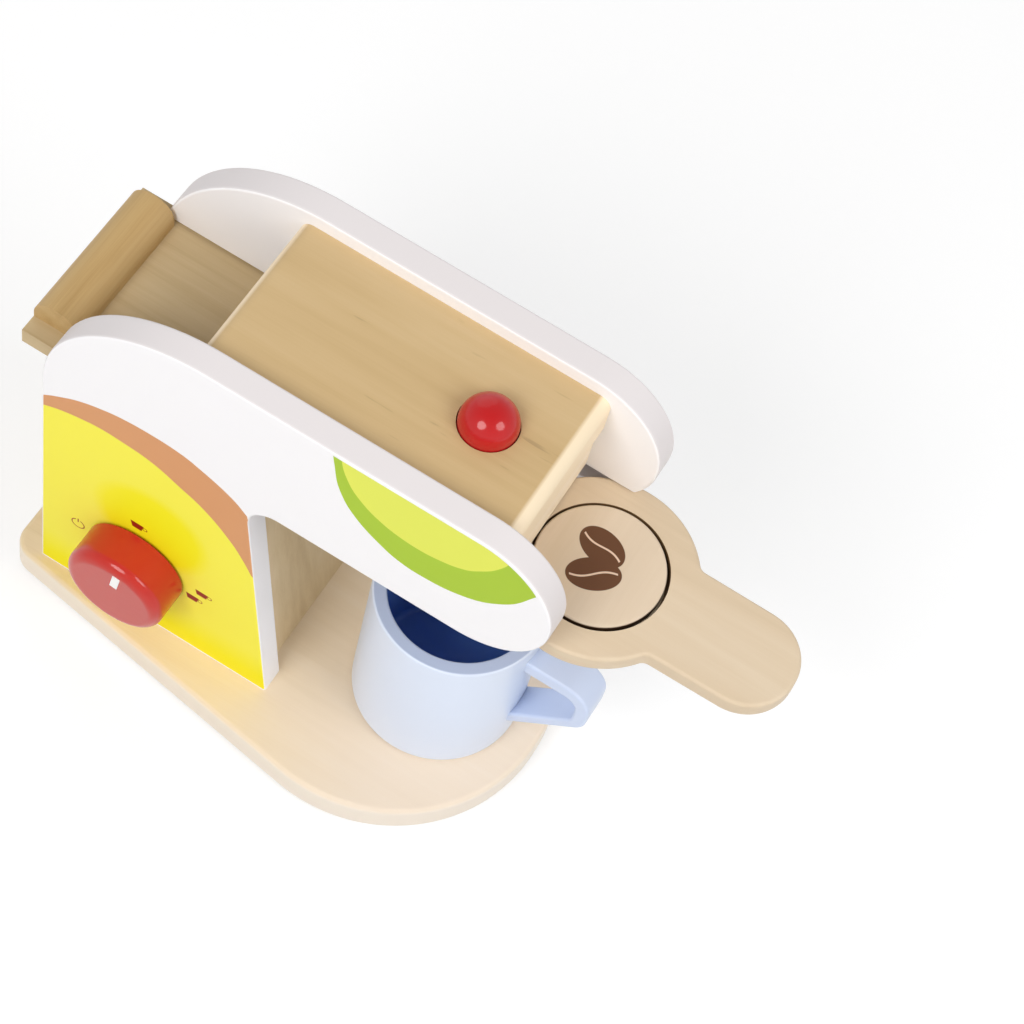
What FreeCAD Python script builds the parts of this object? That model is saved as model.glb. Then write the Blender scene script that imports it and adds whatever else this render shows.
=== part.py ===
import FreeCAD, Part
import math
import os
import Sketcher

# Toy coffee maker, in millimetres. +Z is up, the cup and the paddle point to -Y and the knob is on the -X
# side. The origin is the middle of the base plate's underside.

os.makedirs("parts", exist_ok=True)
doc = FreeCAD.newDocument("ToyCoffeeMaker")
sheet = doc.addObject("Spreadsheet::Sheet", "Sizes")

DRIVING_SIZES = [
    ("base_length", 176.0, "base plate, front to back"),
    ("base_thick", 12.0, "base plate stock"),
    ("base_tail_width", 74.0, "base plate at its rear edge"),
    ("base_nose_width", 128.4, "base plate's sides carried on to its front edge"),
    ("base_nose_flat", 2.4, "straight part between the arcs of the base plate's front"),
    ("base_tail_radius", 8.0, "rear corners of the base plate"),
    ("base_edge", 1.8, "rounding of the base plate's edges"),
    ("panel_setback", 10.0, "base plate behind the side panels"),
    ("panel_gap", 51.6, "between the two side panels"),
    ("panel_thick", 9.0, "side panel stock"),
    ("panel_length", 165.0, "side panel, rear edge to arm end"),
    ("panel_height", 163.0, "side panel above the base plate"),
    ("panel_back_radius", 53.0, "high rear corner of a side panel"),
    ("arm_depth", 54.0, "height of the arm"),
    ("arm_end_flat", 1.2, "straight part between the arcs of the arm's end"),
    ("leg_foot", 85.0, "leg of a side panel at the base plate"),
    ("leg_waist", 69.5, "leg of a side panel under the arm"),
    ("leg_corner", 10.0, "inner corner between leg and arm"),
    ("panel_edge", 0.8, "rounding of the side panels' edges"),
    ("board_thick", 9.0, "back board and column board stock"),
    ("column_setback", 4.0, "column board behind the leg's front edge"),
    ("board_drop", 0.5, "boards below the slide that runs over them"),
    ("groove_floor", 114.5, "groove's lower face above the base plate"),
    ("groove_height", 7.0, "grooves in the side panels, top to bottom"),
    ("groove_depth", 4.6, "grooves into the side panels"),
    ("groove_play", 0.4, "side play of a slide in its groove"),
    ("lid_thick", 6.0, "rear slide stock"),
    ("lid_overhang", 10.0, "rear slide behind the side panels"),
    ("lid_reach", 74.0, "rear slide, side panels' rear edge to its front end"),
    ("stop_gap", 0.3, "slide to the closed end of its groove"),
    ("grip_width", 14.9, "bar grip, front to back"),
    ("grip_rise", 9.4, "bar grip above the slide"),
    ("grip_side_gap", 1.4, "bar grip to each side panel"),
    ("grip_front_radius", 7.0, "front of the bar grip"),
    ("grip_rear_radius", 7.0, "rear of the bar grip"),
    ("cover_start", 45.0, "side panels' rear edge to the cover"),
    ("cover_length", 101.0, "cover, front to back"),
    ("cover_thick", 14.0, "cover stock"),
    ("cover_drop", 5.2, "cover below the side panels' top"),
    ("cover_edge", 4.0, "rounding of the cover's front and rear"),
    ("front_thick", 6.0, "front board stock"),
    ("front_setback", 1.4, "front board behind the cover's front face"),
    ("front_lift", 0.8, "front board over the paddle"),
    ("button_inset", 24.6, "cover's front face to the button's middle"),
    ("button_radius", 8.7, "push button"),
    ("button_gap", 0.3, "push button to its hole"),
    ("button_rise", 0.4, "straight part of the push button above the cover"),
    ("button_crown_flat", 1.0, "flat middle of the push button's dome, across"),
    ("button_travel", 4.5, "way of the button from up to down"),
    ("flange_radius", 12.0, "flange that keeps the button in"),
    ("flange_thick", 3.0, "flange of the button"),
    ("flange_gap", 0.5, "flange to the recess round it"),
    ("flange_recess", 5.0, "recess for the flange in the cover"),
    ("spigot_radius", 4.2, "spigot of the button in the spring"),
    ("spigot_length", 2.5, "spigot of the button in the spring"),
    ("spring_radius", 5.3, "spring, to the middle of its wire"),
    ("spring_wire", 1.0, "wire of the spring"),
    ("spring_pressed", 7.5, "spring with the button down"),
    ("spring_turns", 4.0, "turns of the spring"),
    ("shelf_thick", 5.0, "shelf under the spring"),
    ("shelf_length", 26.0, "shelf under the spring, front to back"),
    ("knob_place", 35.5, "side panels' rear edge to the knob"),
    ("knob_height", 35.5, "knob above the base plate"),
    ("knob_radius", 17.0, "knob"),
    ("knob_thick", 13.8, "knob"),
    ("knob_edge", 3.4, "rounding of the knob's front"),
    ("washer_thick", 0.8, "felt washer behind the knob"),
    ("washer_radius", 9.0, "felt washer behind the knob"),
    ("washer_bore", 3.3, "hole of the felt washer"),
    ("axle_radius", 3.0, "axle of the knob"),
    ("axle_clearance", 0.05, "running clearance round the axle"),
    ("axle_depth", 8.0, "axle in the knob"),
    ("cap_radius", 7.0, "cap on the axle's inner end"),
    ("cap_thick", 4.0, "cap on the axle's inner end"),
    ("cap_gap", 0.3, "cap to the side panel"),
    ("pointer_width", 2.6, "pointer let into the knob"),
    ("pointer_length", 7.0, "pointer let into the knob"),
    ("pointer_offset", 10.0, "knob's middle to the pointer's middle"),
    ("pointer_depth", 1.0, "recess for the pointer"),
    ("pointer_proud", 0.2, "pointer over the knob's face"),
    ("knob_rest_turn", 8.0, "degrees that the resting knob is turned past its upright mark"),
    ("paddle_thick", 6.5, "paddle stock"),
    ("head_radius", 29.0, "round head of the paddle"),
    ("head_inset", 0.7, "head's middle behind the arm's end, half out"),
    ("paddle_push", 45.0, "paddle, half out to fully in"),
    ("handle_reach", 63.2, "head's middle to the handle's end"),
    ("handle_neck", 31.8, "handle at the head"),
    ("handle_tip", 31.2, "handle at its end"),
    ("handle_end_flat", 0.8, "straight part between the arcs of the handle's end"),
    ("neck_radius", 3.0, "inner corners between head and handle"),
    ("paddle_edge", 1.1, "rounding of the paddle's edges"),
    ("recess_radius", 20.2, "recess for the coffee pad"),
    ("recess_depth", 4.3, "recess for the coffee pad"),
    ("pad_radius", 19.3, "coffee pad"),
    ("pad_thick", 4.3, "coffee pad"),
    ("pad_edge", 0.7, "rounding of the coffee pad"),
    ("pad_shift_back", 0.25, "coffee pad behind the recess's middle"),
    ("pad_shift_far", 0.3, "coffee pad beside the recess's middle"),
    ("cup_place", 128.6, "side panels' rear edge to the cup's middle"),
    ("cup_side", 1.0, "cup's middle to the knob's side of the base's middle"),
    ("cup_radius", 27.5, "cup, outside"),
    ("cup_height", 64.8, "cup"),
    ("cup_wall", 4.5, "wall of the cup"),
    ("cup_floor", 9.0, "floor of the cup"),
    ("cup_foot_edge", 2.0, "rounding of the cup's foot"),
    ("cup_rim_edge", 0.8, "rounding of the cup's rim"),
    ("ear_width", 12.0, "strap handle of the cup, side to side"),
    ("ear_reach", 50.2, "cup's middle to the front of its handle"),
    ("ear_top", 57.5, "upper edge of the cup's handle"),
    ("ear_upper", 6.0, "upper limb of the cup's handle"),
    ("ear_front", 4.6, "front of the cup's handle"),
    ("ear_knee", 38.7, "height where the handle turns back to the cup"),
    ("ear_heel", 10.7, "lower edge of the handle where it meets the cup"),
    ("ear_lower", 7.9, "lower limb of the handle, measured upright"),
    ("ear_top_radius", 10.0, "upper front corner of the cup's handle"),
    ("ear_knee_radius", 8.0, "lower front corner of the cup's handle"),
    ("ear_hollow_radius", 5.0, "front corners of the handle's hollow"),
    ("ear_hollow_lift", 0.8, "hollow's lower front corner over the handle's"),
    ("ear_edge", 1.0, "rounding of the cup's handle"),
    ("dowel_radius", 2.5, "dowels between boards and panels"),
    ("dowel_in_panel", 5.0, "dowel in the side panel"),
    ("dowel_in_board", 9.0, "dowel in the board"),
    ("dowel_end_gap", 0.2, "dowel's end to the bottom of its bore"),
    ("dowel_inset", 22.0, "dowel's distance from a board's end"),
    ("screw_radius", 1.7, "screws up through the base plate"),
    ("screw_head_radius", 3.6, "heads of the screws"),
    ("screw_length", 24.0, "screws"),
    ("screw_inset", 16.0, "screws from the ends of a panel's foot"),
    ("screw_play", 0.1, "screws to their bores"),
]

OVERRUN = 2.0
TINY = 0.05
COUNTERSINK_ANGLE = 90


class Length:
    """A length as its number and as the formula on the sheet that gives it."""

    def __init__(self, value, formula):
        self.value = value
        self.formula = formula

    def join(self, other, sign, value):
        return Length(value, f"({self.formula} {sign} {length(other).formula})")

    def __add__(self, other):
        return self.join(other, "+", self.value + length(other).value)

    def __sub__(self, other):
        return self.join(other, "-", self.value - length(other).value)

    def __mul__(self, other):
        return self.join(other, "*", self.value * length(other).value)

    def __truediv__(self, other):
        return self.join(other, "/", self.value / length(other).value)

    def __neg__(self):
        return Length(-self.value, f"(-1 * {self.formula})")


def length(thing):
    if isinstance(thing, Length):
        return thing
    return Length(float(thing), repr(float(thing)))


def fill_sheet():
    sheet.set("A1", "size")
    sheet.set("B1", "millimetres")
    sheet.set("C1", "what it is")
    for row, (alias, number, meaning) in enumerate(DRIVING_SIZES, start=2):
        sheet.set(f"A{row}", alias)
        sheet.set(f"B{row}", str(number))
        sheet.set(f"C{row}", meaning)
        sheet.setAlias(f"B{row}", alias)
    doc.recompute()


def size(alias):
    return Length(float(sheet.get(alias)), f"Sizes.{alias}")


def bind(thing, name, amount):
    """Ties a property to the sheet."""
    thing.setExpression(name, length(amount).formula)


def put(thing, x, y, z):
    """Ties an object's place to the sheet."""
    for axis, amount in zip("xyz", (x, y, z)):
        bind(thing, f"Placement.Base.{axis}", amount)


# Sketches


def new_body(node):
    body = doc.addObject("PartDesign::Body", node)
    body.Label = node
    return body


def new_sketch(body, name, role):
    sketch = body.newObject("Sketcher::SketchObject", name)
    origin_planes = [plane for plane in body.Origin.OriginFeatures if plane.Role == role]
    sketch.AttachmentSupport = [(origin_planes[0], "")]
    sketch.MapMode = "FlatFace"
    return sketch


def pin_point(sketch, element, end, across, up):
    """Holds a point of the sketch at two lengths from its origin."""
    for kind, amount in (("DistanceX", across), ("DistanceY", up)):
        amount = length(amount)
        index = sketch.addConstraint(Sketcher.Constraint(kind, -1, 1, element, end, amount.value))
        sketch.setExpression(f"Constraints[{index}]", amount.formula)


def outline(sketch, points):
    """Closed outline of straight lines through points pinned to the sheet."""
    points = [(length(across), length(up)) for across, up in points]
    corners = [FreeCAD.Vector(across.value, up.value, 0) for across, up in points]
    lines = []
    for start, end in zip(corners, corners[1:] + corners[:1]):
        lines.append(sketch.addGeometry(Part.LineSegment(start, end), False))
    for before, after in zip(lines, lines[1:] + lines[:1]):
        sketch.addConstraint(Sketcher.Constraint("Coincident", before, 2, after, 1))
    for line, (across, up) in zip(lines, points):
        pin_point(sketch, line, 1, across, up)


def rectangle(sketch, left, right, low, high):
    outline(sketch, [(left, low), (right, low), (right, high), (left, high)])


def circle(sketch, across, up, radius):
    across, up, radius = length(across), length(up), length(radius)
    centre = FreeCAD.Vector(across.value, up.value, 0)
    ring = sketch.addGeometry(Part.Circle(centre, FreeCAD.Vector(0, 0, 1), radius.value), False)
    pin_point(sketch, ring, 3, across, up)
    index = sketch.addConstraint(Sketcher.Constraint("Radius", ring, radius.value))
    sketch.setExpression(f"Constraints[{index}]", radius.formula)


# Features


def solid_volume(body):
    doc.recompute()
    return body.Shape.Volume


def add_pad(body, sketch, amount, backwards=False, both_ways=False):
    pad = body.newObject("PartDesign::Pad", f"{body.Name}_pad")
    pad.Profile = sketch
    bind(pad, "Length", amount)
    pad.Reversed = backwards
    if both_ways:
        pad.SideType = "Symmetric"
    doc.recompute()
    return pad


def add_pocket(body, sketch, amount, backwards=False, through=False):
    before = solid_volume(body)
    pocket = body.newObject("PartDesign::Pocket", f"{body.Name}_pocket")
    pocket.Profile = sketch
    if through:
        pocket.Type = "ThroughAll"
    else:
        bind(pocket, "Length", amount)
    pocket.Reversed = backwards
    if solid_volume(body) >= before - TINY:
        raise RuntimeError(f"a pocket of {body.Label} cuts nothing")
    return pocket


def add_turning(body, sketch, axis):
    turning = body.newObject("PartDesign::Revolution", f"{body.Name}_turning")
    turning.Profile = sketch
    turning.ReferenceAxis = (sketch, [axis])
    turning.Angle = 360
    doc.recompute()
    return turning


def round_edges(body, radius, chosen):
    """Rounds the edges of the body's last feature that chosen() picks."""
    base = body.Tip
    names = [f"Edge{index}" for index, edge in enumerate(base.Shape.Edges, start=1) if chosen(edge)]
    if not names:
        raise RuntimeError(f"{body.Label} has no such edge to round")
    fillet = body.newObject("PartDesign::Fillet", f"{body.Name}_round")
    fillet.Base = (base, names)
    bind(fillet, "Radius", radius)
    doc.recompute()
    if "Invalid" in fillet.State or fillet.Shape.isNull():
        raise RuntimeError(f"{body.Label} can't be rounded there")
    return fillet


def same(first, second):
    return abs(first - second) < TINY


def along(edge, axis):
    """True for a straight edge that runs along one axis, 0 for X, 1 for Y or 2 for Z."""
    box = edge.BoundBox
    spans = [box.XLength, box.YLength, box.ZLength]
    return spans[axis] > TINY and sum(spans) - spans[axis] < TINY


def flat_at(edge, axis, place):
    """True for an edge that lies in the plane at that place on the axis."""
    box = edge.BoundBox
    low = (box.XMin, box.YMin, box.ZMin)[axis]
    high = (box.XMax, box.YMax, box.ZMax)[axis]
    return same(low, place) and same(high, place)


# Places that several pieces share


fill_sheet()

half_gap = size("panel_gap") / 2
panel_rear = size("base_length") / 2 - size("panel_setback")
foot_level = size("base_thick")
arm_under = size("panel_height") - size("arm_depth")
leg_lean = (size("leg_foot") - size("leg_waist")) / arm_under
board_top = size("groove_floor") - size("board_drop")
column_front = size("leg_foot") - size("column_setback")
slide_half = half_gap + size("groove_depth") - size("groove_play") / 2
slide_level = foot_level + size("groove_floor")
cover_under = size("panel_height") - size("cover_drop") - size("cover_thick")
cover_front = size("cover_start") + size("cover_length")
button_place = cover_front - size("button_inset")
front_low = size("groove_floor") + size("paddle_thick") + size("front_lift")
head_place = size("panel_length") - size("head_inset")
paddle_stop = head_place - size("paddle_push")
flange_level = cover_under + size("flange_recess") - size("flange_thick")
spring_up = size("spring_pressed") + size("button_travel")
shelf_top = flange_level - spring_up
knob_face = half_gap + size("panel_thick") + size("washer_thick")
screw_places = [size("screw_inset"), size("leg_foot") - size("screw_inset")]


def head_crossing():
    """Half the length over which the round head reaches past the panels' inner faces."""
    radius, side = size("head_radius"), half_gap
    number = math.sqrt(radius.value ** 2 - side.value ** 2)
    return Length(number, f"sqrt({radius.formula} ^ 2 - {side.formula} ^ 2)")


# Base plate


def nose_radius():
    """Radius that leaves the straight part at the front, where the plate's sides spread to the nose."""
    room = (size("base_nose_width") - size("base_nose_flat")) / 2
    spread = (size("base_nose_width") - size("base_tail_width")) / 2
    run = size("base_length")
    corner = math.pi / 2 - math.atan(spread.value / run.value)
    corner_formula = f"(90 deg - atan({spread.formula} / {run.formula}))"
    return Length(room.value * math.tan(corner / 2), f"({room.formula} * tan({corner_formula} / 2))")


def make_base_plate():
    body = new_body("base_plate")
    plan = new_sketch(body, "base_plan", "XY_Plane")
    half = size("base_length") / 2
    tail, nose = size("base_tail_width") / 2, size("base_nose_width") / 2
    outline(plan, [(-nose, -half), (nose, -half), (tail, half), (-tail, half)])
    add_pad(body, plan, size("base_thick"))
    round_edges(body, nose_radius(), lambda e: along(e, 2) and e.BoundBox.YMax < 0)
    round_edges(body, size("base_tail_radius"), lambda e: along(e, 2) and same(e.BoundBox.YMax, half.value))
    top = size("base_thick").value
    round_edges(body, size("base_edge"), lambda e: flat_at(e, 2, 0) or flat_at(e, 2, top))
    bores = new_sketch(body, "screw_bores", "XY_Plane")
    for side in (-1, 1):
        for place in screw_places:
            across = (half_gap + size("panel_thick") / 2) * side
            circle(bores, across, panel_rear - place, size("screw_radius") + size("screw_play"))
    doc.recompute()
    before = solid_volume(body)
    hole = body.newObject("PartDesign::Hole", "screw_holes")
    hole.Profile = bores
    hole.Reversed = True
    hole.DepthType = "ThroughAll"
    hole.Threaded = False
    bind(hole, "Diameter", (size("screw_radius") + size("screw_play")) * 2)
    hole.HoleCutType = "Countersink"
    hole.HoleCutCustomValues = True
    bind(hole, "HoleCutDiameter", (size("screw_head_radius") + size("screw_play")) * 2)
    hole.HoleCutCountersinkAngle = COUNTERSINK_ANGLE
    if solid_volume(body) >= before - TINY:
        raise RuntimeError("the screw holes cut nothing")
    return body


# Side panels


def dowel_places():
    """Each dowel's distance from the panels' rear edge and its height above the base plate."""
    middle = size("board_thick") / 2
    low, high = size("dowel_inset"), board_top - size("dowel_inset")
    back = [(middle, low), (middle, high)]
    column = [(column_front - leg_lean * height - middle, height) for height in (low, high)]
    cover_height = cover_under + size("cover_thick") / 2
    cover = [(size("cover_start") + size("dowel_inset") / 2, cover_height),
             (cover_front - size("dowel_inset") / 2, cover_height)]
    return {"back": back, "column": column, "cover": cover}


def make_side_panel(node, side):
    body = new_body(node)
    profile = new_sketch(body, f"{node}_profile", "YZ_Plane")
    top, under = size("panel_height"), arm_under
    reach, foot, waist = size("panel_length"), size("leg_foot"), size("leg_waist")
    zero = length(0)
    outline(profile, [(zero, zero), (zero, top), (-reach, top),
                      (-reach, under), (-waist, under), (-foot, zero)])
    add_pad(body, profile, size("panel_thick"), backwards=side < 0)
    round_edges(body, size("panel_back_radius"),
                lambda e: along(e, 0) and same(e.BoundBox.YMax, 0) and same(e.BoundBox.ZMax, top.value))
    end_radius = (size("arm_depth") - size("arm_end_flat")) / 2
    round_edges(body, end_radius, lambda e: along(e, 0) and same(e.BoundBox.YMin, -reach.value))
    round_edges(body, size("leg_corner"), lambda e: along(e, 0) and same(e.BoundBox.YMin, -waist.value))
    faces = (0, side * size("panel_thick").value)
    round_edges(body, size("panel_edge"),
                lambda e: (flat_at(e, 0, faces[0]) or flat_at(e, 0, faces[1])) and e.BoundBox.ZMax > TINY)

    grooves = new_sketch(body, f"{node}_grooves", "YZ_Plane")
    low, high = size("groove_floor"), size("groove_floor") + size("groove_height")
    rectangle(grooves, -(size("lid_reach") + size("stop_gap")), length(OVERRUN), low, high)
    inner_end = paddle_stop - head_crossing() - size("stop_gap")
    rectangle(grooves, -(reach + OVERRUN), -inner_end, low, high)
    add_pocket(body, grooves, size("groove_depth"), backwards=side > 0)

    bores = new_sketch(body, f"{node}_dowel_bores", "YZ_Plane")
    for pairs in dowel_places().values():
        for place, height in pairs:
            circle(bores, -place, height, size("dowel_radius"))
    add_pocket(body, bores, size("dowel_in_panel") + size("dowel_end_gap"), backwards=side > 0)

    pilots = new_sketch(body, f"{node}_screw_bores", "XY_Plane")
    for place in screw_places:
        circle(pilots, size("panel_thick") / 2 * side, -place, size("screw_radius") + size("screw_play"))
    depth = size("screw_length") - size("base_thick") + size("dowel_end_gap")
    add_pocket(body, pilots, depth, backwards=True)

    if side < 0:
        bore = new_sketch(body, "axle_bore", "YZ_Plane")
        circle(bore, -size("knob_place"), size("knob_height"), size("axle_radius") + size("axle_clearance"))
        add_pocket(body, bore, 0, through=True)
    put(body, half_gap * side, panel_rear, foot_level)
    return body


# Boards of the column


def bore_board_ends(body, name, places):
    """Blind dowel bores in both ends of a board that lies between the panels."""
    for side in (-1, 1):
        bores = new_sketch(body, f"{name}_bores", "YZ_Plane")
        bind(bores, "AttachmentOffset.Base.z", half_gap * side)
        for across, up in places:
            circle(bores, across, up, size("dowel_radius"))
        add_pocket(body, bores, size("dowel_in_board") + size("dowel_end_gap"), backwards=side < 0)


def make_back_board():
    body = new_body("back_board")
    profile = new_sketch(body, "back_profile", "YZ_Plane")
    rectangle(profile, -size("board_thick"), length(0), length(0), board_top)
    add_pad(body, profile, size("panel_gap"), both_ways=True)
    bore_board_ends(body, "back", [(-place, height) for place, height in dowel_places()["back"]])
    put(body, 0, panel_rear, foot_level)
    return body


def make_column_board():
    body = new_body("column_board")
    profile = new_sketch(body, "column_profile", "YZ_Plane")
    lean = leg_lean * board_top
    thick = size("board_thick")
    outline(profile, [(-column_front, length(0)), (-column_front + thick, length(0)),
                      (-column_front + thick + lean, board_top), (-column_front + lean, board_top)])
    add_pad(body, profile, size("panel_gap"), both_ways=True)
    bore_board_ends(body, "column", [(-place, height) for place, height in dowel_places()["column"]])
    put(body, 0, panel_rear, foot_level)
    return body


# Cover, front board and the shelf for the spring


def make_top_cover():
    body = new_body("top_cover")
    profile = new_sketch(body, "cover_profile", "YZ_Plane")
    rectangle(profile, -cover_front, -size("cover_start"), cover_under, cover_under + size("cover_thick"))
    add_pad(body, profile, size("panel_gap"), both_ways=True)
    top = (cover_under + size("cover_thick")).value
    round_edges(body, size("cover_edge"), lambda e: along(e, 0) and same(e.BoundBox.ZMin, top))
    bore_board_ends(body, "cover", [(-place, height) for place, height in dowel_places()["cover"]])
    bores = new_sketch(body, "button_bore", "XY_Plane")
    bind(bores, "AttachmentOffset.Base.z", cover_under)
    circle(bores, 0, -button_place, size("button_radius") + size("button_gap"))
    before = solid_volume(body)
    hole = body.newObject("PartDesign::Hole", "button_hole")
    hole.Profile = bores
    hole.Reversed = True
    hole.DepthType = "ThroughAll"
    hole.Threaded = False
    bind(hole, "Diameter", (size("button_radius") + size("button_gap")) * 2)
    hole.HoleCutType = "Counterbore"
    hole.HoleCutCustomValues = True
    bind(hole, "HoleCutDiameter", (size("flange_radius") + size("flange_gap")) * 2)
    bind(hole, "HoleCutDepth", size("flange_recess"))
    if solid_volume(body) >= before - TINY:
        raise RuntimeError("the button's hole cuts nothing")
    put(body, 0, panel_rear, foot_level)
    return body


def make_front_board():
    body = new_body("front_board")
    profile = new_sketch(body, "front_profile", "YZ_Plane")
    front = cover_front - size("front_setback")
    rectangle(profile, -front, -front + size("front_thick"), front_low, cover_under)
    add_pad(body, profile, size("panel_gap"), both_ways=True)
    put(body, 0, panel_rear, foot_level)
    return body


def make_spring_shelf():
    body = new_body("spring_shelf")
    profile = new_sketch(body, "shelf_profile", "YZ_Plane")
    half = size("shelf_length") / 2
    middle = button_place
    rectangle(profile, -middle - half, -middle + half, shelf_top - size("shelf_thick"), shelf_top)
    add_pad(body, profile, size("panel_gap"), both_ways=True)
    put(body, 0, panel_rear, foot_level)
    return body


# Push button and its spring


def make_push_button():
    body = new_body("push_button")
    profile = new_sketch(body, "button_profile", "XZ_Plane")
    spigot, shaft, flange = size("spigot_radius"), size("button_radius"), size("flange_radius")
    flange_top = size("flange_thick")
    rim = flange_top + size("cover_thick") - size("flange_recess") + size("button_rise")
    dome = shaft - size("button_crown_flat") / 2
    crown = rim + dome
    low = -size("spigot_length")
    outline(profile, [(0, low), (spigot, low), (spigot, 0), (flange, 0), (flange, flange_top),
                      (shaft, flange_top), (shaft, crown), (0, crown)])
    add_turning(body, profile, "V_Axis")
    round_edges(body, dome, lambda e: flat_at(e, 2, crown.value))
    put(body, 0, panel_rear - button_place, foot_level + flange_level)
    return body


def make_button_spring():
    """Open coil with flat arcs: each quarter turn is one arc through three points of the helix."""
    feature = doc.addObject("Part::Feature", "button_spring")
    feature.Label = "button_spring"
    radius, wire = size("spring_radius").value, size("spring_wire").value
    height = spring_up.value - wire
    quarters = int(round(size("spring_turns").value * 4))

    def point(quarter):
        turn = quarter * math.pi / 2
        rise = wire / 2 + height * quarter / quarters
        return FreeCAD.Vector(radius * math.cos(turn), radius * math.sin(turn), rise)

    arcs = [Part.Arc(point(q), point(q + 0.5), point(q + 1)).toShape() for q in range(quarters)]
    path = Part.Wire(arcs)
    start = point(0)
    ring = Part.Wire([Part.Circle(start, FreeCAD.Vector(0, 1, 0), wire / 2).toShape()])
    feature.Shape = path.makePipeShell([ring], True, False)
    put(feature, 0, panel_rear - button_place, foot_level + shelf_top)
    return feature


# Knob on its axle


def make_selector_knob():
    body = new_body("selector_knob")
    profile = new_sketch(body, "knob_profile", "XY_Plane")
    rectangle(profile, -size("knob_thick"), length(0), length(0), size("knob_radius"))
    add_turning(body, profile, "H_Axis")
    face = -size("knob_thick").value
    round_edges(body, size("knob_edge"), lambda e: flat_at(e, 0, face))
    bore = new_sketch(body, "knob_bore", "YZ_Plane")
    circle(bore, 0, 0, size("axle_radius"))
    add_pocket(body, bore, size("axle_depth"))
    recess = new_sketch(body, "pointer_recess", "YZ_Plane")
    bind(recess, "AttachmentOffset.Base.z", -size("knob_thick"))
    pointer_outline(recess)
    add_pocket(body, recess, size("pointer_depth"), backwards=True)
    put_on_knob(body)
    return body


def put_on_knob(body):
    """Puts a piece of the knob behind the washer, with the turn that the knob rests at."""
    body.Placement.Rotation = FreeCAD.Rotation(FreeCAD.Vector(1, 0, 0), size("knob_rest_turn").value)
    bind(body, "Placement.Rotation.Angle", size("knob_rest_turn"))
    put(body, -knob_face, panel_rear - size("knob_place"), foot_level + size("knob_height"))


def make_knob_pointer():
    body = new_body("knob_pointer")
    plan = new_sketch(body, "pointer_plan", "YZ_Plane")
    bind(plan, "AttachmentOffset.Base.z", size("pointer_depth") - size("knob_thick"))
    pointer_outline(plan)
    add_pad(body, plan, size("pointer_depth") + size("pointer_proud"), backwards=True)
    put_on_knob(body)
    return body


def pointer_outline(sketch):
    half_width, half_length = size("pointer_width") / 2, size("pointer_length") / 2
    middle = size("pointer_offset")
    rectangle(sketch, -half_width, half_width, middle - half_length, middle + half_length)


def make_cylinder(node, radius, amount):
    """Round bar along X with its near end at the object's place."""
    bar = doc.addObject("Part::Cylinder", node)
    bar.Label = node
    bind(bar, "Radius", radius)
    bind(bar, "Height", amount)
    bar.Placement.Rotation = FreeCAD.Rotation(FreeCAD.Vector(0, 1, 0), 90)
    return bar


def make_knob_axle():
    inner_end = half_gap - size("cap_gap") - size("cap_thick")
    outer_end = knob_face + size("axle_depth")
    bar = make_cylinder("knob_axle", size("axle_radius"), outer_end - inner_end)
    put(bar, -outer_end, panel_rear - size("knob_place"), foot_level + size("knob_height"))
    return bar


def make_ring(node, outer, bore, thick, x_place):
    body = new_body(node)
    plan = new_sketch(body, f"{node}_plan", "YZ_Plane")
    circle(plan, 0, 0, outer)
    circle(plan, 0, 0, bore)
    add_pad(body, plan, thick)
    put(body, x_place, panel_rear - size("knob_place"), foot_level + size("knob_height"))
    return body


def make_knob_washer():
    outer, thick = size("washer_radius"), size("washer_thick")
    return make_ring("knob_washer", outer, size("washer_bore"), thick, -knob_face)


def make_axle_cap():
    place = -(half_gap - size("cap_gap"))
    return make_ring("axle_cap", size("cap_radius"), size("axle_radius"), size("cap_thick"), place)


# Rear slide with its grip


def make_slide_lid():
    body = new_body("slide_lid")
    plan = new_sketch(body, "lid_plan", "XY_Plane")
    rectangle(plan, -slide_half, slide_half, -size("lid_reach"), size("lid_overhang"))
    add_pad(body, plan, size("lid_thick"))
    put(body, 0, panel_rear, slide_level)
    return body


def make_lid_grip():
    body = new_body("lid_grip")
    profile = new_sketch(body, "grip_profile", "YZ_Plane")
    rectangle(profile, -size("grip_width"), length(0), length(0), size("grip_rise"))
    add_pad(body, profile, size("panel_gap") - size("grip_side_gap") * 2, both_ways=True)
    front, top = -size("grip_width").value, size("grip_rise").value
    round_edges(body, size("grip_front_radius"),
                lambda e: along(e, 0) and same(e.BoundBox.YMin, front) and same(e.BoundBox.ZMin, top))
    round_edges(body, size("grip_rear_radius"),
                lambda e: along(e, 0) and same(e.BoundBox.YMin, 0) and same(e.BoundBox.ZMin, top))
    put(body, 0, panel_rear + size("lid_overhang"), slide_level + size("lid_thick"))
    return body


# Paddle and coffee pad


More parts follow.
